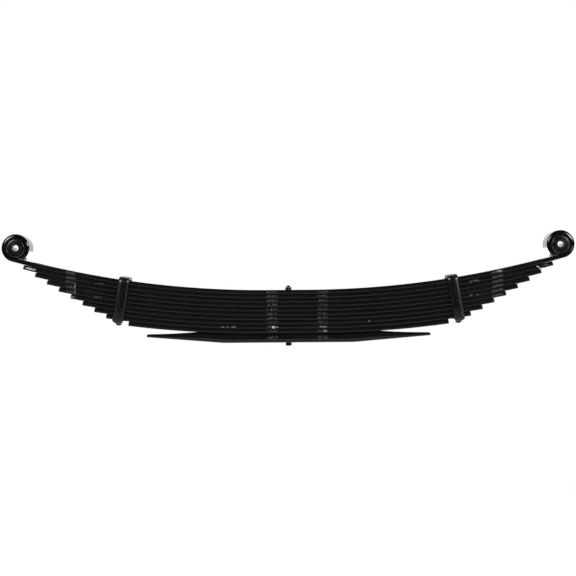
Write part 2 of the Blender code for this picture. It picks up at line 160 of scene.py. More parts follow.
# Single marks: place along and up the front edge, half size, colour.
# Bare steel, chipped primer and rust, and painted glints of light at leaf 2's ends.
MARKS_AND_PAINTED_GLINTS = (
    # Leaf 2's left end: bare steel where the enamel is scuffed, painted bright as its glare, a painted
    # highlight.
    ((-0.6800, 0.1992), (0.0070, 0.0034), "#b2b2b2"),
    ((-0.6722, 0.1972), (0.0085, 0.0036), "#bababa"),
    ((-0.6640, 0.1948), (0.0070, 0.0034), "#aeaeae"),
    # The next four are painted glints: white light in the gap above leaf 3's right end and under leaf 2.
    ((0.6500, 0.1936), (0.0034, 0.0022), "#bcbcbc"),
    ((0.6546, 0.1898), (0.0034, 0.0022), "#c4c4c4"),
    ((0.6650, 0.1893), (0.0100, 0.0018), "#a0a0a0"),
    ((0.6800, 0.1926), (0.0090, 0.0016), "#8a8a8a"),
    ((0.6740, 0.1970), (0.0150, 0.0040), "#2f2d2c"),
    ((-0.0392, 0.0398), (0.0050, 0.0046), "#dcd6c4"),
    ((-0.0325, 0.0405), (0.0076, 0.0026), "#7a7669"),
    ((0.0850, 0.0405), (0.0040, 0.0030), "#6a6865"),
    ((0.0925, 0.0400), (0.0070, 0.0026), "#74726e"),
    ((0.0955, 0.0290), (0.0060, 0.0036), "#7d7c78"),
    ((-0.1724, 0.0416), (0.0064, 0.0026), "#6e6b65"),
    ((-0.1593, 0.0415), (0.0046, 0.0022), "#625f5a"),
    ((-0.1437, 0.0414), (0.0072, 0.0026), "#6e6b65"),
    ((0.2101, 0.0543), (0.0030, 0.0030), "#6c6a67"),
    ((-0.5663, 0.1608), (0.0100, 0.0090), "#0b0706"),
    ((-0.5640, 0.1195), (0.0070, 0.0074), "#866547"),
    ((-0.5565, 0.1420), (0.0030, 0.0230), "#574839"),
    ((-0.5562, 0.1520), (0.0024, 0.0030), "#8d857d"),
    ((0.5506, 0.1823), (0.0090, 0.0034), "#85827c"),
    ((0.4761, 0.1547), (0.0050, 0.0034), "#4e4d4b"),
    ((0.4892, 0.1580), (0.0105, 0.0034), "#403f3d"),
    ((0.4761, 0.1198), (0.0056, 0.0040), "#323130"),
    ((0.4928, 0.1215), (0.0050, 0.0040), "#32312f"),
    ((-0.5001, 0.1212), (0.0160, 0.0032), "#2b2a29"),
    ((-0.5022, 0.1220), (0.0026, 0.0032), "#56544f"),
    ((-0.4947, 0.1569), (0.0160, 0.0032), "#322f2e"),
)

spring_enamel, tree, shader = new_material("sprayed_gloss_black_spring_enamel")
place = add_node(tree, "TexCoord", {}).outputs["Object"]
axis = add_node(tree, "SeparateXYZ", {"Vector": place}).outputs
edge_height = add_node(tree, "Attribute", {}, attribute_name=EDGE_HEIGHT).outputs["Fac"]
roll_scale = [1 / size for size in ROLL_MARK_SIZE]
roll_place = add_node(tree, "Mapping", {"Vector": place, "Scale": roll_scale})
roll_marks = add_node(tree, "TexNoise", {"Vector": roll_place.outputs[0], "Scale": 1.0, "Detail": 3.0})
peel = add_node(tree, "TexNoise", {"Vector": place, "Scale": 1 / PEEL_SIZE, "Detail": 2.0})
patches = add_node(tree, "TexNoise", {"Vector": place, "Scale": 1 / DUST_PATCH_SIZE, "Detail": 4.0})
rub_scale = [1 / size for size in RUB_SIZE]
rub_place = add_node(tree, "Mapping", {"Vector": place, "Scale": rub_scale})
rubs = add_node(tree, "TexNoise", {
    "Vector": rub_place.outputs[0], "Scale": 1.0, "Detail": 4.0, "Roughness": 0.65})
scuff_scale = [1 / size for size in SCUFF_SIZE]
scuff_place = add_node(tree, "Mapping", {"Vector": place, "Scale": scuff_scale, "Location": SCUFF_SHIFT})
scuffs = add_node(tree, "TexNoise", {
    "Vector": scuff_place.outputs[0], "Scale": 1.0, "Detail": 5.0, "Roughness": 0.6})
away = add_node(tree, "Math", {0: axis["Y"]}, operation="ABSOLUTE")
proud = add_node(tree, "MapRange", {
    "Value": away.outputs[0], "From Min": leaf_width / 2 - PROUD_DEPTH, "From Max": leaf_width / 2})
outward = add_node(tree, "Math", {0: axis["X"]}, operation="ABSOLUTE")
on_eye = add_node(tree, "MapRange", {
    "Value": outward.outputs[0], "From Min": eye_centre.x - EYE_GLOSS_REACH * eye_outer_radius,
    "From Max": eye_centre.x - eye_outer_radius})
on_bar = add_node(tree, "Math", {0: 1.0, 1: on_eye.outputs["Result"]}, operation="SUBTRACT")
band_rubs = add_node(tree, "MapRange", {
    "Value": rubs.outputs["Fac"], "From Min": BAND_RUB_START, "From Max": BAND_RUB_FULL})
band_worn = 0.0
for band_centre, band_half, evenness in STRAP_BANDS:
    offset = add_node(tree, "Math", {0: axis["X"], 1: band_centre}, operation="SUBTRACT")
    distance = add_node(tree, "Math", {0: offset.outputs[0]}, operation="ABSOLUTE")
    ragged = add_node(tree, "MapRange", {
        "Value": distance.outputs[0], "From Min": band_half, "From Max": band_half * BAND_CORE})
    through = add_node(tree, "Math", {0: band_rubs.outputs["Result"], 1: evenness}, operation="MAXIMUM")
    band = add_node(tree, "Math", {
        0: ragged.outputs["Result"], 1: through.outputs[0]}, operation="MULTIPLY")
    band_worn = add_node(tree, "Math", {0: band_worn, 1: band.outputs[0]}, operation="MAXIMUM").outputs[0]
loose_rubs = add_node(tree, "MapRange", {
    "Value": scuffs.outputs["Fac"], "From Min": SCUFF_START, "From Max": SCUFF_FULL, "To Max": SCUFF_MOST})
worn = add_node(tree, "Math", {0: band_worn, 1: loose_rubs.outputs["Result"]}, operation="MAXIMUM")
worn = add_node(tree, "Math", {0: worn.outputs[0], 1: proud.outputs["Result"]}, operation="MULTIPLY")
worn = add_node(tree, "Math", {0: worn.outputs[0], 1: on_bar.outputs[0]}, operation="MULTIPLY")
lower = add_node(tree, "MapRange", {"Value": edge_height, "From Min": RUB_TOP, "From Max": RUB_FULL})
worn = add_node(tree, "Math", {0: worn.outputs[0], 1: lower.outputs["Result"]}, operation="MULTIPLY")
tint = add_node(tree, "MapRange", {
    "Value": roll_marks.outputs["Fac"], "From Min": ROLL_TINT_START, "From Max": ROLL_TINT_FULL})
tint = add_node(tree, "Math", {0: tint.outputs["Result"], 1: on_bar.outputs[0]}, operation="MULTIPLY")
coat = add_node(tree, "Mix", {
    "Factor": tint.outputs[0], "A": linear(ENAMEL_BLACK), "B": linear(ROLL_MARK_BLACK)}, data_type="RGBA")
dust = add_node(tree, "MapRange", {
    "Value": outward.outputs[0], "From Min": DUST_START, "From Max": DUST_FULL, "To Max": DUST_MOST})
dust = add_node(tree, "Math", {0: dust.outputs["Result"], 1: patches.outputs["Fac"]}, operation="MULTIPLY")
dusty = add_node(tree, "Mix", {
    "Factor": dust.outputs[0], "A": coat.outputs["Result"], "B": linear(ROAD_DUST)}, data_type="RGBA")
rubbed = add_node(tree, "Mix", {
    "Factor": worn.outputs[0], "A": dusty.outputs["Result"], "B": linear(RUBBED_GREY)}, data_type="RGBA")
colour, bare_and_glint = rubbed.outputs["Result"], worn.outputs[0]
# Each single mark is laid over the colour and dulls the gloss; the glints among them are painted
# highlights.
for (mark_x, mark_z), (mark_long, mark_tall), mark_colour in MARKS_AND_PAINTED_GLINTS:
    offset = add_node(tree, "VectorMath", {0: place, 1: (mark_x, FRONT_EDGE, mark_z)}, operation="SUBTRACT")
    offset = add_node(tree, "VectorMath", {
        0: offset.outputs[0], 1: (mark_long, MARK_DEPTH, mark_tall)}, operation="DIVIDE")
    distance = add_node(tree, "VectorMath", {0: offset.outputs[0]}, operation="LENGTH")
    ragged = add_node(tree, "Math", {
        0: rubs.outputs["Fac"], 1: MARK_RAGGEDNESS, 2: distance.outputs["Value"]}, operation="MULTIPLY_ADD")
    mark = add_node(tree, "MapRange", {
        "Value": ragged.outputs[0], "From Min": MARK_RIM, "From Max": MARK_CORE})
    mixed = add_node(tree, "Mix", {
        "Factor": mark.outputs["Result"], "A": colour, "B": linear(mark_colour)}, data_type="RGBA")
    either = add_node(tree, "Math", {0: bare_and_glint, 1: mark.outputs["Result"]}, operation="MAXIMUM")
    colour, bare_and_glint = mixed.outputs["Result"], either.outputs[0]
smooth = add_node(tree, "MapRange", {
    "Value": patches.outputs["Fac"], "From Min": PATCH_START, "From Max": PATCH_FULL,
    "To Min": SMOOTH_PATCH, "To Max": DULL_PATCH})
glossy = add_node(tree, "Math", {
    0: on_eye.outputs["Result"], 1: EYE_GLOSS, 2: smooth.outputs["Result"]}, operation="MULTIPLY_ADD")
dulled = add_node(tree, "Math", {
    0: dust.outputs[0], 1: DUST_DULLING, 2: glossy.outputs[0]}, operation="MULTIPLY_ADD")
edge_away = add_node(tree, "Math", {0: edge_height}, operation="ABSOLUTE")
flat = add_node(tree, "MapRange", {
    "Value": edge_away.outputs[0], "From Min": FLAT_START, "From Max": FLAT_FULL})
flat = add_node(tree, "Math", {0: flat.outputs["Result"], 1: on_bar.outputs[0]}, operation="MULTIPLY")
dry = add_node(tree, "Math", {
    0: flat.outputs[0], 1: FLAT_DRYNESS, 2: dulled.outputs[0]}, operation="MULTIPLY_ADD")
rough = add_node(tree, "Math", {0: bare_and_glint, 1: BARE_AND_GLINT_DULLING, 2: dry.outputs[0]}, operation="MULTIPLY_ADD")
clear = add_node(tree, "MapRange", {"Value": flat.outputs[0], "To Min": CLEAR_COAT, "To Max": 0.0})
roll_relief = add_node(tree, "Math", {
    0: roll_marks.outputs["Fac"], 1: on_bar.outputs[0]}, operation="MULTIPLY")
relief = add_node(tree, "Math", {
    0: roll_relief.outputs[0], 1: ROLL_MARK_RELIEF, 2: peel.outputs["Fac"]}, operation="MULTIPLY_ADD")
bump = add_node(tree, "Bump", {
    "Height": relief.outputs[0], "Strength": PEEL_STRENGTH, "Distance": PEEL_HEIGHT})
plug(tree, shader, {
    "Base Color": colour, "Roughness": rough.outputs[0], "Normal": bump.outputs["Normal"], "IOR": 1.5,
    "Coat Weight": clear.outputs["Result"], "Coat Roughness": 0.06})


def bar_end(body, width, thickness, edge_radius, height=0.0):
    """The end of a round-edge bar, upright in the plane x = 0, as a stack of quads."""
    bmesh.ops.create_grid(body, x_segments=1, y_segments=EDGE_STEPS, size=1.0)
    half_angle = math.asin(thickness / 2 / edge_radius)
    height_layer = body.verts.layers.float.new(EDGE_HEIGHT)
    for vert in body.verts:
        vert[height_layer] = vert.co.y
        side, angle = vert.co.x, vert.co.y * half_angle
        reach = width / 2 - edge_radius + edge_radius * math.cos(angle)
        vert.co = (0, side * reach, height + edge_radius * math.sin(angle))
    return body.faces[:]


def with_edges(faces):
    """The faces of a bar's end and their edges. Given both, an extrusion leaves no wall inside the bar."""
    return faces + list(dict.fromkeys(edge for face in faces for edge in face.edges))


def pull(body, faces, move):
    """Extrude the bar's end along a straight stretch."""
    grown = bmesh.ops.extrude_face_region(body, geom=with_edges(faces))["geom"]
    verts = [part for part in grown if isinstance(part, bmesh.types.BMVert)]
    bmesh.ops.translate(body, verts=verts, vec=move)
    return [part for part in grown if isinstance(part, bmesh.types.BMFace)]


def roll(body, faces, centre, angle, steps):
    """Bend the bar up round a centre in the plane of the spring."""
    swept = bmesh.ops.spin(
        body, geom=with_edges(faces), cent=centre, axis=(0, -1, 0), angle=angle, steps=steps,
        use_duplicate=False)
    return [part for part in swept["geom_last"] if isinstance(part, bmesh.types.BMFace)]


SHARP_ANGLE = math.radians(35)


def finished(name, body, material):
    """A mesh object at the origin, shaded smooth between its sharp edges."""
    bmesh.ops.recalc_face_normals(body, faces=body.faces)
    mesh = bpy.data.meshes.new(name)
    body.to_mesh(mesh)
    body.free()
    mesh.materials.append(material)
    mesh.shade_smooth()
    mesh.set_sharp_from_angle(angle=SHARP_ANGLE)
    made = bpy.data.objects.new(name, mesh)
    bpy.context.scene.collection.objects.link(made)
    return made


SIDES = {"left": -1, "right": 1}


def bend_with_spring(piece):
    """Bake a piece's place into its mesh, at the origin."""
    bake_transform(piece)


def eye_spoke(vert):
    """From the eye's middle line straight out to a vertex."""
    return Vector((vert.co.x - eye_centre.x, 0, vert.co.z - eye_centre.z))


main_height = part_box("main_leaf")[0].z + leaf_thickness / 2
main_angle = math.asin((eye_centre.x - SEAT_HALF) / (ARC_RADIUS - eye_line_radius))
scarf_depth = eye_bore_radius - EYE_TIP_GAP
scarf_start = math.acos(scarf_depth / eye_outer_radius)
scarf_end = math.acos(scarf_depth / (eye_bore_radius + EYE_TIP_THICKNESS))
eye_foot = Vector((math.sin(main_angle), 0, -math.cos(main_angle)))
eye_ahead = Vector((math.cos(main_angle), 0, math.sin(main_angle)))
for side, sign in SIDES.items():
    body = bmesh.new()
    end = bar_end(body, leaf_width, leaf_thickness, EDGE_RADIUS, main_height)
    end = pull(body, end, (SEAT_HALF, 0, 0))
    end = roll(body, end, (SEAT_HALF, 0, main_height + ARC_RADIUS), main_angle, ARC_STEPS)
    leaf_verts = set(body.verts)
    end = roll(body, end, eye_centre, 2 * math.pi - scarf_start, EYE_STEPS)
    full_bar = set(body.verts)
    roll(body, end, eye_centre, scarf_start - scarf_end, SCARF_STEPS)
    # The rolling squares up the edges on the inside of the bend, and draws them in on the outside.
    for vert in set(body.verts) - leaf_verts:
        spoke = eye_spoke(vert)
        turn = math.atan2(spoke.dot(eye_ahead), spoke.dot(eye_foot)) % (2 * math.pi)
        beyond = max(0.0, spoke.length - eye_bore_radius - EYE_FLAT)
        drawn_in = EYE_EDGE_RADIUS - math.sqrt(EYE_EDGE_RADIUS**2 - beyond**2)
        edge = math.copysign(leaf_width / 2 - drawn_in, vert.co.y)
        vert.co.y += (edge - vert.co.y) * min(1.0, turn / EYE_SQUARE_TURN)
    # The tip is ground to a scarf: it thins so that its outer face lies along the leaf below.
    for vert in set(body.verts) - full_bar:
        spoke = eye_spoke(vert)
        reach = spoke.length
        share = (scarf_depth * reach / spoke.dot(eye_foot) - eye_bore_radius) / leaf_thickness
        spoke *= (eye_bore_radius + (reach - eye_bore_radius) * min(1.0, share)) / reach
        vert.co = (eye_centre.x + spoke.x, vert.co.y, eye_centre.z + spoke.z)
    bmesh.ops.scale(body, verts=body.verts, vec=(sign, 1, 1))
    half = finished(side + "_main_leaf", body, spring_enamel)
    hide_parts("main_leaf")
    bend_with_spring(half)


# Graduated leaves
# Nine more leaves of the same bar under the main leaf, each sheared a step shorter than the one above.
# They lie on each other, held by the centre bolt and the clips, and carry the same enamel.

END_BEVEL = 0.0008
END_STRIP = 0.0020


def leaf_line(steps):
    """Where the arc of a leaf so many steps below the main leaf starts, and its middle line's radius."""
    return SEAT_HALF + steps * SEAT_STEP, ARC_RADIUS + steps * leaf_pitch


def break_rim(body, end, size):
    """Round the sharp rim of a sheared end."""
    rim = [edge for face in end for edge in face.edges if sum(f in end for f in edge.link_faces) == 1]
    bmesh.ops.bevel(body, geom=rim, offset=size, segments=2, profile=0.5, affect="EDGES", material=-1)


for number in range(2, 11):
    node = f"leaf_{number}"
    low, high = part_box(node)
    height = low.z + leaf_thickness / 2
    seat, radius = leaf_line(number - 1)
    end_angle = math.asin((high.x - seat) / (radius + leaf_thickness / 2))
    for side, sign in SIDES.items():
        body = bmesh.new()
        end = bar_end(body, leaf_width, leaf_thickness, EDGE_RADIUS, height)
        end = pull(body, end, (seat, 0, 0))
        centre, strip = (seat, 0, height + radius), END_STRIP / radius
        end = roll(body, end, centre, end_angle - strip, ARC_STEPS)
        end = roll(body, end, centre, strip, 1)
        break_rim(body, end, END_BEVEL)
        bmesh.ops.scale(body, verts=body.verts, vec=(sign, 1, 1))
        half = finished(f"{side}_{node}", body, spring_enamel)
        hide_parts(node)
        bend_with_spring(half)


# Overload leaf
# A thick forged leaf of spring steel under the stack, held by the centre bolt. It hugs the last leaf in the
# middle, and both faces taper towards its free tips, so that it takes load only once the spring above has
# flattened.

OVERLOAD_EDGE_RADIUS = 0.0135
OVERLOAD_FLAT_HALF = 0.170
OVERLOAD_HUG = 0.230
OVERLOAD_TIP = 0.0066
OVERLOAD_TIP_DROP = 0.0015
OVERLOAD_STEPS_DOWN = 10
OVERLOAD_STATIONS = 60
OVERLOAD_END_BEVEL = 0.0005
MERGE_DISTANCE = 1e-6

overload_low, overload_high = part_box("overload_leaf")
overload_reach = overload_high.x
overload_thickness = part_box("leaf_10")[0].z - overload_low.z - LEAF_CONTACT_GAP
hug_seat, hug_line_radius = leaf_line(OVERLOAD_STEPS_DOWN)
hug_radius = hug_line_radius - leaf_thickness / 2


def overload_faces(along):
    """Heights of the overload leaf's underside and top at a distance from the bolt."""
    bend = max(0.0, min(along, OVERLOAD_HUG) - hug_seat)
    top = overload_thickness + hug_radius - math.sqrt(hug_radius**2 - bend**2)
    tip_top = overload_thickness - OVERLOAD_TIP_DROP
    if along > OVERLOAD_HUG:
        remaining = (overload_reach - along) / (overload_reach - OVERLOAD_HUG)
        top = tip_top + (top - tip_top) * remaining**2
    taper = max(0.0, (along - OVERLOAD_FLAT_HALF) / (overload_reach - OVERLOAD_FLAT_HALF))
    return taper * (tip_top - OVERLOAD_TIP), top


def add_other_half(body):
    """Mirror half a piece in the plane x = 0 and join the halves."""
    bmesh.ops.mirror(
        body, geom=body.verts[:] + body.edges[:] + body.faces[:], matrix=Matrix.Identity(4),
        merge_dist=MERGE_DISTANCE, axis="X")


body = bmesh.new()
start = bar_end(body, leaf_width, overload_thickness, OVERLOAD_EDGE_RADIUS, overload_thickness / 2)
end = start
for _ in range(OVERLOAD_STATIONS):
    end = pull(body, end, ((overload_reach - END_STRIP) / OVERLOAD_STATIONS, 0, 0))
end = pull(body, end, (END_STRIP, 0, 0))
bmesh.ops.delete(body, geom=start, context="FACES")
for vert in body.verts:
    underside, top = overload_faces(vert.co.x)
    vert.co.z = underside + (top - underside) * vert.co.z / overload_thickness
break_rim(body, end, OVERLOAD_END_BEVEL)
add_other_half(body)
overload = finished("tapered_overload_leaf", body, spring_enamel)
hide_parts("overload_leaf")
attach(overload, "leaf_pack")


# Centre bolt and nut
# A cheese-head steel bolt through the middle of all the leaves, with its head in the axle seat below and a
# hexagon nut above. Both were painted over with the stack.

BOLT_RADIUS = 0.005
BOLT_POINT = 0.0018
BOLT_HEAD_ROUND = 0.0026
BOLT_HEAD_GAP = 0.0003
HEAD_ROUND_STEPS = 8
THREAD_PITCH = 0.00125
THREAD_DEPTH = 0.00075
THREAD_IN_NUT = 0.004
TURN_STEPS = 72

# Fastener enamel: the same black, thinner over machined steel, so that it is a little greyer and duller
# than on the leaves. Its grit is drawn coarser than it is, because it would be too fine to show.
FASTENER_BLACK = "#0c0c0d"
FASTENER_GREY = "#232221"
GREY_START, GREY_FULL = 0.4, 0.75
FASTENER_SMOOTH, FASTENER_DULL = 0.22, 0.42
FASTENER_GRIT = 0.0022
FASTENER_GRIT_HEIGHT = 0.0003
FASTENER_GRIT_STRENGTH = 0.15
fastener_enamel, tree, shader = new_material("thin_black_enamel_on_machined_steel")
place = add_node(tree, "TexCoord", {}).outputs["Object"]
grit = add_node(tree, "TexNoise", {"Vector": place, "Scale": 1 / FASTENER_GRIT, "Detail": 4.0})
tint = add_node(tree, "MapRange", {
    "Value": grit.outputs["Fac"], "From Min": GREY_START, "From Max": GREY_FULL})
coat = add_node(tree, "Mix", {
    "Factor": tint.outputs["Result"], "A": linear(FASTENER_BLACK), "B": linear(FASTENER_GREY)},
    data_type="RGBA")
rough = add_node(tree, "MapRange", {
    "Value": grit.outputs["Fac"], "To Min": FASTENER_SMOOTH, "To Max": FASTENER_DULL})
bump = add_node(tree, "Bump", {
    "Height": grit.outputs["Fac"], "Strength": FASTENER_GRIT_STRENGTH, "Distance": FASTENER_GRIT_HEIGHT})
plug(tree, shader, {
    "Base Color": coat.outputs["Result"], "Roughness": rough.outputs["Result"],
    "Normal": bump.outputs["Normal"], "Coat Weight": 0.3, "Coat Roughness": 0.15})


def turned(body, outline):
    """Turn a line of (radius, height) points once round the Z axis."""
    verts = [body.verts.new((radius, 0, height)) for radius, height in outline]
    edges = [body.edges.new(pair) for pair in zip(verts, verts[1:])]
    if outline[0][0] > 0:
        edges.append(body.edges.new((verts[-1], verts[0])))
    bmesh.ops.spin(
        body, geom=verts + edges, cent=(0, 0, 0), axis=(0, 0, 1), angle=2 * math.pi, steps=TURN_STEPS,
        use_merge=True, use_duplicate=False)
    bmesh.ops.remove_doubles(body, verts=body.verts, dist=MERGE_DISTANCE)


bolt_low, bolt_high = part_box("centre_bolt")
head_radius = bolt_high.x
head_seat = overload_low.z - BOLT_HEAD_GAP
nut_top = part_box("centre_nut")[1].z
thread_top = bolt_high.z - BOLT_POINT
outline = [(0, bolt_high.z), (BOLT_RADIUS - BOLT_POINT, bolt_high.z), (BOLT_RADIUS, thread_top)]
while thread_top - THREAD_PITCH > nut_top - THREAD_IN_NUT:
    outline += [
        (BOLT_RADIUS - THREAD_DEPTH, thread_top - THREAD_PITCH / 2),
        (BOLT_RADIUS, thread_top - THREAD_PITCH),
    ]
    thread_top -= THREAD_PITCH
outline += [(BOLT_RADIUS, head_seat), (head_radius, head_seat)]
for step in range(HEAD_ROUND_STEPS + 1):
    angle = math.pi / 2 * step / HEAD_ROUND_STEPS
    outline.append((
        head_radius - BOLT_HEAD_ROUND + BOLT_HEAD_ROUND * math.cos(angle),
        bolt_low.z + BOLT_HEAD_ROUND - BOLT_HEAD_ROUND * math.sin(angle),
    ))
outline.append((0, bolt_low.z))
body = bmesh.new()
turned(body, outline)
bolt = finished("threaded_centre_bolt", body, fastener_enamel)
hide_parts("centre_bolt")
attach(bolt, "leaf_pack")
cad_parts["centre_nut"].data.materials.clear()
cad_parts["centre_nut"].data.materials.append(fastener_enamel)


# Rebound clips
# Straps of flat steel bar, bent cold round the stack near its ends. The base is riveted under the last
# leaf but one, and the two ends are hammered over the main leaf with room to spare.

CLIP_WIDTH = 0.028
CLIP_THICKNESS = 0.0083
CLIP_FLAT_HALF = 0.0055
CLIP_FALL_START = math.radians(8)
CLIP_FALL_END = math.radians(38)
CLIP_CORNER = 0.0018
CLIP_CORNER_ANGLE = math.radians(40)
CLIP_BASE_BEND = 0.004
CLIP_TOP_BEND = 0.008
CLIP_LIP_GAP = 0.020
CLIP_SETBACK = 0.031
CLIP_LEAN = math.radians(1.4)
CLIP_LEAF_STEPS_DOWN = 8
CLIP_BEND_STEPS = 14
STRAP_STEPS = 4

# Clip enamel: brushed on more thickly than the sprayed coat, so it is deep black with a soft shine. It has
# sagged in upright streaks, and dust clings to the clip's foot. The dust's grit is drawn coarse, to show.
CLIP_BLACK = "#040405"
SAG_BLACK = "#0b0b0b"
SAG_STREAK = "#4c4946"
CLIP_DUST = "#302f2d"
SAG_SIZE = (0.004, 0.004, 0.030)
SAG_HEIGHT = 0.0004
SAG_STRENGTH = 0.12
SAG_START, SAG_FULL = 0.35, 0.75
STREAK_START, STREAK_FULL, STREAK_MOST = 0.58, 0.74, 0.5
CLIP_SMOOTH, CLIP_DULL = 0.19, 0.33
CLIP_GRIT = 0.003
CLIP_GRIT_START, CLIP_GRIT_FULL = 0.3, 0.6
CLIP_DUST_TOP, CLIP_DUST_FULL = 0.095, 0.064
clip_enamel, tree, shader = new_material("thick_gloss_black_clip_enamel")
place = add_node(tree, "TexCoord", {}).outputs["Object"]
sag_scale = [1 / size for size in SAG_SIZE]
sag_place = add_node(tree, "Mapping", {"Vector": place, "Scale": sag_scale})
sags = add_node(tree, "TexNoise", {"Vector": sag_place.outputs[0], "Scale": 1.0, "Detail": 2.0})
grit = add_node(tree, "TexNoise", {"Vector": place, "Scale": 1 / CLIP_GRIT, "Detail": 4.0})
tint = add_node(tree, "MapRange", {
    "Value": sags.outputs["Fac"], "From Min": SAG_START, "From Max": SAG_FULL})
coat = add_node(tree, "Mix", {
    "Factor": tint.outputs["Result"], "A": linear(CLIP_BLACK), "B": linear(SAG_BLACK)}, data_type="RGBA")
streaks = add_node(tree, "MapRange", {
    "Value": sags.outputs["Fac"], "From Min": STREAK_START, "From Max": STREAK_FULL,
    "To Max": STREAK_MOST})
streaked = add_node(tree, "Mix", {
    "Factor": streaks.outputs["Result"], "A": coat.outputs["Result"], "B": linear(SAG_STREAK)},
    data_type="RGBA")
height = add_node(tree, "SeparateXYZ", {"Vector": place}).outputs["Z"]
low_down = add_node(tree, "MapRange", {
    "Value": height, "From Min": CLIP_DUST_TOP, "From Max": CLIP_DUST_FULL})
dust = add_node(tree, "MapRange", {
    "Value": grit.outputs["Fac"], "From Min": CLIP_GRIT_START, "From Max": CLIP_GRIT_FULL})
dust = add_node(tree, "Math", {
    0: dust.outputs["Result"], 1: low_down.outputs["Result"]}, operation="MULTIPLY")
dusty = add_node(tree, "Mix", {
    "Factor": dust.outputs[0], "A": streaked.outputs["Result"], "B": linear(CLIP_DUST)}, data_type="RGBA")
rough = add_node(tree, "MapRange", {
    "Value": grit.outputs["Fac"], "To Min": CLIP_SMOOTH, "To Max": CLIP_DULL})
bump = add_node(tree, "Bump", {
    "Height": sags.outputs["Fac"], "Strength": SAG_STRENGTH, "Distance": SAG_HEIGHT})
plug(tree, shader, {
    "Base Color": dusty.outputs["Result"], "Roughness": rough.outputs["Result"],
    "Normal": bump.outputs["Normal"], "Coat Weight": 0.20, "Coat Roughness": 0.20})

clip_leaf_low, clip_leaf_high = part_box("leaf_9")
clip_leaf_seat, clip_leaf_radius = leaf_line(CLIP_LEAF_STEPS_DOWN)
under_radius = clip_leaf_radius + leaf_thickness / 2
clip_leaf_end = math.asin((clip_leaf_high.x - clip_leaf_seat) / under_radius)
clip_reach = clip_leaf_seat + clip_leaf_radius * math.sin(clip_leaf_end) - CLIP_SETBACK
clip_angle = math.asin((clip_reach - clip_leaf_seat) / clip_leaf_radius)
clip_leaf_height = clip_leaf_low.z + leaf_thickness / 2
clip_base = Vector((
    clip_leaf_seat + under_radius * math.sin(clip_angle), 0,
    clip_leaf_height + clip_leaf_radius - under_radius * math.cos(clip_angle)))
clip_normal = Vector((-math.sin(clip_angle), 0, math.cos(clip_angle)))
clip_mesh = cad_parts["right_clip"].data
clip_heights = [(vert.co - clip_base).dot(clip_normal) for vert in clip_mesh.vertices]
half_strap = CLIP_THICKNESS / 2
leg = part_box("right_clip")[1].y - half_strap
foot, head = min(clip_heights) + half_strap, max(clip_heights) - half_strap
low_bend, high_bend = CLIP_BASE_BEND + half_strap, CLIP_TOP_BEND + half_strap
clip_place = Matrix.Translation(clip_base) @ Matrix.Rotation(-clip_angle, 4, "Y")
across = Matrix.Rotation(math.pi / 2, 4, "Z")
lean = Matrix.Identity(4)
lean[0][2] = -math.tan(CLIP_LEAN)


def strap_end(body, height):
    """The end of the strap, upright in the plane x = 0. The outer face, below, falls away to each edge."""
    slope, crest = math.sin(CLIP_FALL_START), math.cos(CLIP_FALL_START)
    fall_width = CLIP_WIDTH / 2 - CLIP_FLAT_HALF
    fall_radius = fall_width / (math.sin(CLIP_FALL_END) - slope)
    grid = bmesh.ops.create_grid(body, x_segments=2 * STRAP_STEPS + 2, y_segments=1, size=1.0)
    for vert in grid["verts"]:
        column = abs(vert.co.x) * (STRAP_STEPS + 1)
        beyond = max(0.0, column - 1) / STRAP_STEPS * fall_width
        reach = min(1.0, column) * CLIP_FLAT_HALF + beyond
        fall = 0.0
        if vert.co.y < 0:
            fall = fall_radius * (crest - math.sqrt(1 - (slope + beyond / fall_radius) ** 2))
        level = height + math.copysign(half_strap, vert.co.y) + fall
        vert.co = (0, math.copysign(reach, vert.co.x), level)
    return body.faces[:]


for side, sign in SIDES.items():
    body = bmesh.new()
    start = strap_end(body, foot)
    end = pull(body, start, (leg - low_bend, 0, 0))
    end = roll(body, end, (leg - low_bend, 0, foot + low_bend), math.pi / 2, CLIP_BEND_STEPS)
    end = pull(body, end, (0, 0, head - high_bend - foot - low_bend))
    end = roll(body, end, (leg - high_bend, 0, head - high_bend), math.pi / 2, CLIP_BEND_STEPS)
    end = pull(body, end, (CLIP_LIP_GAP / 2 - leg + high_bend, 0, 0))
    bmesh.ops.delete(body, geom=start, context="FACES")
    add_other_half(body)
    bmesh.ops.recalc_face_normals(body, faces=body.faces)
    corners = [edge for edge in body.edges if edge.calc_face_angle(0) > CLIP_CORNER_ANGLE]
    bmesh.ops.bevel(
        body, geom=corners, offset=CLIP_CORNER, segments=4, profile=0.5, affect="EDGES", material=-1)
    bmesh.ops.transform(body, matrix=clip_place @ lean @ across, verts=body.verts)
    bmesh.ops.scale(body, verts=body.verts, vec=(sign, 1, 1))
    clip = finished(side + "_bent_strap_clip", body, clip_enamel)
    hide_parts(side + "_clip")
    bend_with_spring(clip)


# Clip rivets
# Hot-driven steel rivets with a button head below the clip's base. The upper end is hammered flush into
# the leaf. The heads were sprayed with the stack.

RIVET_RADIUS = 0.004
RIVET_HEAD_RADIUS = 0.0089
RIVET_HEAD_HEIGHT = 0.0063
RIVET_HEAD_GAP = 0.0003
RIVET_TOP_DEPTH = 0.0006
RIVET_DOME_STEPS = 12

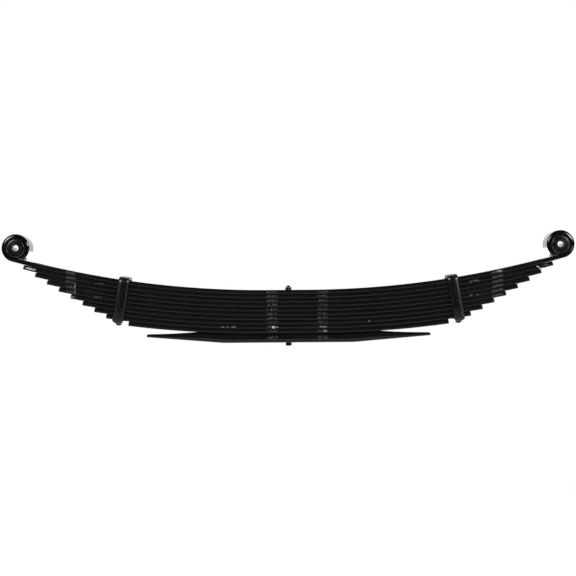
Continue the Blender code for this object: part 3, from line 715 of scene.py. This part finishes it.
rivet_top = leaf_thickness - RIVET_TOP_DEPTH
head_top = min(clip_heights) - RIVET_HEAD_GAP
outline = [(0, rivet_top), (RIVET_RADIUS, rivet_top), (RIVET_RADIUS, head_top)]
for step in range(RIVET_DOME_STEPS):
    angle = math.pi / 2 * step / RIVET_DOME_STEPS
    outline.append((RIVET_HEAD_RADIUS * math.cos(angle), head_top - RIVET_HEAD_HEIGHT * math.sin(angle)))
outline.append((0, head_top - RIVET_HEAD_HEIGHT))
for side, sign in SIDES.items():
    body = bmesh.new()
    turned(body, outline)
    bmesh.ops.transform(body, matrix=clip_place, verts=body.verts)
    bmesh.ops.scale(body, verts=body.verts, vec=(sign, 1, 1))
    rivet = finished(side + "_button_head_rivet", body, fastener_enamel)
    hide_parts(side + "_clip_rivet")
    bend_with_spring(rivet)


# Eye bushings
# Each is a rubber bush bonded between two drawn steel tubes and pressed into an eye. The ends were caught
# by the black spray. The inner tube's bore, which takes the pin, stayed bare.

SLEEVE_LIP = 0.001
SLEEVE_FLARE = 1.6 * SLEEVE_LIP
SLEEVE_PRESS_GAP = 0.0001
OUTER_SLEEVE_WALL = 0.0024
RUBBER_BULGE = 0.0018
RUBBER_CREST = 1.6
INNER_SLEEVE_RADIUS = 0.015
INNER_BORE_RADIUS = 0.00825
LIP_STEPS = 5
BULGE_STEPS = 16

# Sleeve steel: drawn tube, bright inside and black from overspray at the ends, with faint drawing lines.
TUBE_GREY = "#949496"
TUBE_BRIGHT = "#b6b6b8"
OVERSPRAY_BLACK = "#0a0a0a"
OVERSPRAY_START, OVERSPRAY_FULL = 0.0352, 0.0372
DRAWING_LINE_SIZE = (0.010, 0.0008, 0.010)
BARE_METAL = 0.85
TUBE_SMOOTH, TUBE_DULL = 0.22, 0.42
sleeve_steel, tree, shader = new_material("oversprayed_drawn_steel_tube")
place = add_node(tree, "TexCoord", {}).outputs["Object"]
away = add_node(tree, "SeparateXYZ", {"Vector": place}).outputs["Y"]
depth = add_node(tree, "Math", {0: away}, operation="ABSOLUTE")
overspray = add_node(tree, "MapRange", {
    "Value": depth.outputs[0], "From Min": OVERSPRAY_START, "From Max": OVERSPRAY_FULL})
line_scale = [1 / size for size in DRAWING_LINE_SIZE]
line_place = add_node(tree, "Mapping", {"Vector": place, "Scale": line_scale})
lines = add_node(tree, "TexNoise", {"Vector": line_place.outputs[0], "Scale": 1.0, "Detail": 3.0})
metal_tint = add_node(tree, "Mix", {
    "Factor": lines.outputs["Fac"], "A": linear(TUBE_GREY), "B": linear(TUBE_BRIGHT)}, data_type="RGBA")
sleeve_tint = add_node(tree, "Mix", {
    "Factor": overspray.outputs["Result"], "A": metal_tint.outputs["Result"], "B": linear(OVERSPRAY_BLACK)},
    data_type="RGBA")
metal = add_node(tree, "MapRange", {
    "Value": overspray.outputs["Result"], "To Min": BARE_METAL, "To Max": 0.0})
rough = add_node(tree, "MapRange", {
    "Value": lines.outputs["Fac"], "To Min": TUBE_SMOOTH, "To Max": TUBE_DULL})
plug(tree, shader, {
    "Base Color": sleeve_tint.outputs["Result"], "Metallic": metal.outputs["Result"],
    "Roughness": rough.outputs["Result"]})

# Bushing rubber: moulded natural rubber with a slight sheen, the mottle of its mould and a trace of bloom.
RUBBER_BLACK = "#050505"
BLOOM_BLACK = "#0d0d0c"
BLOOM_START, BLOOM_FULL = 0.45, 0.75
RUBBER_SMOOTH, RUBBER_DULL = 0.22, 0.36
MOTTLE_SIZE = 0.004
MOTTLE_HEIGHT = 0.0004
MOTTLE_STRENGTH = 0.2
bushing_rubber, tree, shader = new_material("moulded_black_bushing_rubber")
place = add_node(tree, "TexCoord", {}).outputs["Object"]
mottle = add_node(tree, "TexNoise", {
    "Vector": place, "Scale": 1 / MOTTLE_SIZE, "Detail": 5.0, "Roughness": 0.6})
bloom = add_node(tree, "MapRange", {
    "Value": mottle.outputs["Fac"], "From Min": BLOOM_START, "From Max": BLOOM_FULL})
rubber_tint = add_node(tree, "Mix", {
    "Factor": bloom.outputs["Result"], "A": linear(RUBBER_BLACK), "B": linear(BLOOM_BLACK)},
    data_type="RGBA")
rough = add_node(tree, "MapRange", {
    "Value": mottle.outputs["Fac"], "To Min": RUBBER_SMOOTH, "To Max": RUBBER_DULL})
bump = add_node(tree, "Bump", {
    "Height": mottle.outputs["Fac"], "Strength": MOTTLE_STRENGTH, "Distance": MOTTLE_HEIGHT})
plug(tree, shader, {
    "Base Color": rubber_tint.outputs["Result"], "Roughness": rough.outputs["Result"],
    "Normal": bump.outputs["Normal"]})


def both_ends(upper):
    """A ring's section from the outline of its upper end, inner side first."""
    return upper + [(radius, -height) for radius, height in reversed(upper)]


def tube_end(outer, inner, half, outer_lip, inner_lip):
    """The upper end of a tube, rounded at both lips."""
    turns = [math.pi / 2 * step / LIP_STEPS for step in range(LIP_STEPS + 1)]
    inside = [(inner + inner_lip * (1 - math.cos(t)), half - inner_lip * (1 - math.sin(t))) for t in turns]
    outside = [(outer - outer_lip * (1 - math.sin(t)), half - outer_lip * (1 - math.cos(t))) for t in turns]
    return inside + outside


for side, sign in SIDES.items():
    outer_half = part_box(side + "_bushing_outer_sleeve")[1].y
    inner_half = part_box(side + "_bushing_inner_sleeve")[1].y
    rubber_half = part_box(side + "_bushing_rubber")[1].y - RUBBER_BULGE
    outer_radius = eye_bore_radius - SLEEVE_PRESS_GAP
    rubber_radius = outer_radius - OUTER_SLEEVE_WALL
    bulge = []
    for step in range(BULGE_STEPS + 1):
        angle = math.pi * step / BULGE_STEPS
        share = ((1 - math.cos(angle)) / 2) ** RUBBER_CREST
        radius = INNER_SLEEVE_RADIUS + (rubber_radius - INNER_SLEEVE_RADIUS) * share
        bulge.append((radius, rubber_half + RUBBER_BULGE * math.sin(angle)))
    outer_end = tube_end(outer_radius, rubber_radius, outer_half, SLEEVE_LIP / 2, SLEEVE_FLARE)
    inner_end = tube_end(INNER_SLEEVE_RADIUS, INNER_BORE_RADIUS, inner_half, SLEEVE_LIP, SLEEVE_LIP)
    ends = {
        "outer_sleeve": (outer_end, sleeve_steel, "_eye"),
        "rubber": (bulge, bushing_rubber, "_eye"),
        "inner_sleeve": (inner_end, sleeve_steel, "_inner_sleeve"),
    }
    for kind, (upper, material, carrier) in ends.items():
        body = bmesh.new()
        turned(body, both_ends(upper))
        bmesh.ops.rotate(
            body, verts=body.verts, cent=(0, 0, 0), matrix=Matrix.Rotation(math.pi / 2, 3, "X"))
        bmesh.ops.translate(body, verts=body.verts, vec=(sign * eye_centre.x, 0, eye_centre.z))
        ring = finished(f"{side}_bush_{kind}", body, material)
        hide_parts(f"{side}_bushing_{kind}")
        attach(ring, side + carrier)


# Floor
# A plain pale studio floor, far enough below the hanging spring to stay out of the picture. It shows as
# white to the camera, less the spring's soft shadow.

FLOOR_HEIGHT = -0.64
FLOOR_RADIUS = 1.45
FLOOR_SIDES = 96

# Floor paper: matt and white, with the faintest cloud of its fibre. To the camera it glows up to full
# white, a little less under the spring.
PAPER_SHADE = "#b4b4b4"
PAPER_WHITE = "#bababa"
FIBRE_CLOUD_SIZE = 0.05
GLOW_START, GLOW_FULL = 0.3, 1.0
GLOW_MIDDLE = 0.75
pale_floor, tree, shader = new_material("matt_white_floor_paper")
place = add_node(tree, "TexCoord", {}).outputs["Object"]
fibre = add_node(tree, "TexNoise", {"Vector": place, "Scale": 1 / FIBRE_CLOUD_SIZE, "Detail": 3.0})
paper = add_node(tree, "Mix", {
    "Factor": fibre.outputs["Fac"], "A": linear(PAPER_SHADE), "B": linear(PAPER_WHITE)}, data_type="RGBA")
ray = add_node(tree, "LightPath", {}).outputs
on_floor = add_node(tree, "VectorMath", {0: place, 1: (1, 1, 0)}, operation="MULTIPLY")
from_middle = add_node(tree, "VectorMath", {0: on_floor.outputs[0]}, operation="LENGTH")
fade = add_node(tree, "MapRange", {
    "Value": from_middle.outputs["Value"], "From Min": GLOW_START, "From Max": GLOW_FULL,
    "To Min": GLOW_MIDDLE})
glow = add_node(tree, "Math", {0: ray["Is Camera Ray"], 1: fade.outputs["Result"]}, operation="MULTIPLY")
plug(tree, shader, {
    "Base Color": paper.outputs["Result"], "Emission Strength": glow.outputs[0],
    "Emission Color": (1, 1, 1, 1), "Roughness": 0.9, "Specular IOR Level": 0.1})

body = bmesh.new()
bmesh.ops.create_circle(body, cap_ends=True, segments=FLOOR_SIDES, radius=FLOOR_RADIUS)
bmesh.ops.translate(body, verts=body.verts, vec=(0, 0, FLOOR_HEIGHT))
mesh = bpy.data.meshes.new("studio_floor")
body.to_mesh(mesh)
body.free()
mesh.materials.append(pale_floor)
floor = bpy.data.objects.new("studio_floor", mesh)
bpy.context.scene.collection.objects.link(floor)


# Studio light
# A dim room with a warm white backdrop behind the spring, which its gloss mirrors. A soft box stands in
# front on each side, with a weak panel low on the right. Another box is high up behind, and a strip washes
# the backdrop's foot.

ROOM_DIM = (0.05, 0.05, 0.05, 1)
BACKDROP_WHITE = "#fff9f2"
BACKDROP_START, BACKDROP_FULL = 0.75, 0.95

world = bpy.data.worlds.new("studio")
bpy.context.scene.world = world
world.use_nodes = True
tree = world.node_tree
background = tree.nodes["Background"]
toward = add_node(tree, "TexCoord", {}).outputs["Generated"]
behind = add_node(tree, "SeparateXYZ", {"Vector": toward}).outputs["Y"]
backdrop = add_node(tree, "MapRange", {
    "Value": behind, "From Min": BACKDROP_START, "From Max": BACKDROP_FULL},
    interpolation_type="SMOOTHSTEP")
ray = add_node(tree, "LightPath", {}).outputs
mirror_ray = add_node(tree, "Math", {
    0: ray["Is Glossy Ray"], 1: ray["Is Transmission Ray"]}, operation="MAXIMUM")
mirror_white = add_node(tree, "Math", {
    0: mirror_ray.outputs[0], 1: backdrop.outputs["Result"]}, operation="MULTIPLY")
mirrored_room = add_node(tree, "Mix", {
    "Factor": mirror_white.outputs[0], "A": ROOM_DIM, "B": linear(BACKDROP_WHITE)}, data_type="RGBA")
sky = add_node(tree, "Mix", {
    "Factor": ray["Is Camera Ray"], "A": mirrored_room.outputs["Result"], "B": (1, 1, 1, 1)},
    data_type="RGBA")
plug(tree, background, {"Color": sky.outputs["Result"], "Strength": 1.0})

# Each lamp's name, place, width and height, and power in watts.
SOFT_BOXES = (
    ("left_soft_box", (-2.90, -3.20, 2.35), (2.3, 1.9), 138.0),
    ("right_soft_box", (3.10, -2.63, 1.81), (2.4, 1.35), 120.0),
    ("right_panel", (2.60, -1.60, -0.28), (1.1, 0.70), 5.0),
    ("high_back_soft_box", (0.0, 1.30, 2.20), (1.8, 1.4), 28.0),
    ("backdrop_foot_strip", (0.0, 3.50, -0.28), (4.0, 0.65), 16.0),
)
aim = Vector((0, 0, 0.15))
for name, spot, (wide, tall), power in SOFT_BOXES:
    lamp = bpy.data.lights.new(name, "AREA")
    lamp.shape = "RECTANGLE"
    lamp.size, lamp.size_y = wide, tall
    lamp.energy = power
    light = bpy.data.objects.new(name, lamp)
    light.location = spot
    light.rotation_euler = (aim - Vector(spot)).to_track_quat("-Z", "Y").to_euler()
    light.visible_camera = False
    bpy.context.scene.collection.objects.link(light)


# Camera
# A long lens at about half the spring's height, square to it and turned a little about its own line of
# sight, as the spring in the picture hangs a touch lower on the left.

FRONT_DISTANCE = 4.32
LENS_MM = 103.6
SENSOR_MM = 36.0
EYE_LEVEL = 0.1422
SIDE_STEP = -0.0009
LEAN = -0.0076

lens = bpy.data.cameras.new("picture_camera")
lens.lens = LENS_MM
lens.sensor_width = SENSOR_MM
camera = bpy.data.objects.new("picture_camera", lens)
spot = Matrix.Translation((SIDE_STEP, -leaf_width / 2 - FRONT_DISTANCE, EYE_LEVEL))
camera.matrix_world = spot @ Matrix.Rotation(math.pi / 2, 4, "X") @ Matrix.Rotation(LEAN, 4, "Z")
bpy.context.scene.collection.objects.link(camera)
bpy.context.scene.camera = camera
bpy.context.scene.view_settings.view_transform = "Standard"
